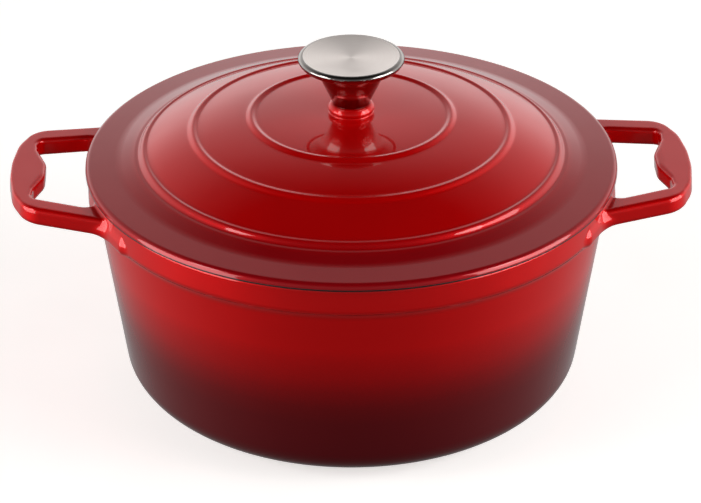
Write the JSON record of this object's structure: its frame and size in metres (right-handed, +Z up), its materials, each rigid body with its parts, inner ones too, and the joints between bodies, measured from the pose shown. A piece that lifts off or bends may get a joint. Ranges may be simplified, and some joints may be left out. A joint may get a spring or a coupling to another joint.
{
  "type": "dutch oven",
  "caption": "Round enamelled cast iron cooking pot with loop handles, a domed lid with raised rings and a flared steel knob.",
  "frame": {"origin": "under the middle of the pot's foot, on the surface it stands on", "axes": "+Z up the pot's axis, +X through the middle of one loop handle"},
  "size_m": [0.3386, 0.264, 0.1767],
  "materials": {
    "pot_enamel": "glossy vitreous enamel, red at the rim fading to dark maroon at the base",
    "lid_enamel": "glossy vitreous enamel, bright red dome with a darker rim",
    "brushed_steel": "circular brushed stainless steel",
    "polished_steel": "mirror polished stainless steel",
    "plated_steel": "zinc plated steel"
  },
  "bodies": {
    "pot": {"pot": "pot_enamel"},
    "lid": {"lid": "lid_enamel", "knob_cap": "brushed_steel", "knob_stem": "polished_steel", "knob_insert": "plated_steel", "knob_screw": "plated_steel", "knob_washer": "plated_steel", "knob_lock_washer": "plated_steel"}
  },
  "joints": [
    {"name": "lid_lift", "type": "slide", "parent": "pot", "child": "lid", "axis": [0, 0, 1], "range_m": [0, 0.15]}
  ]
}
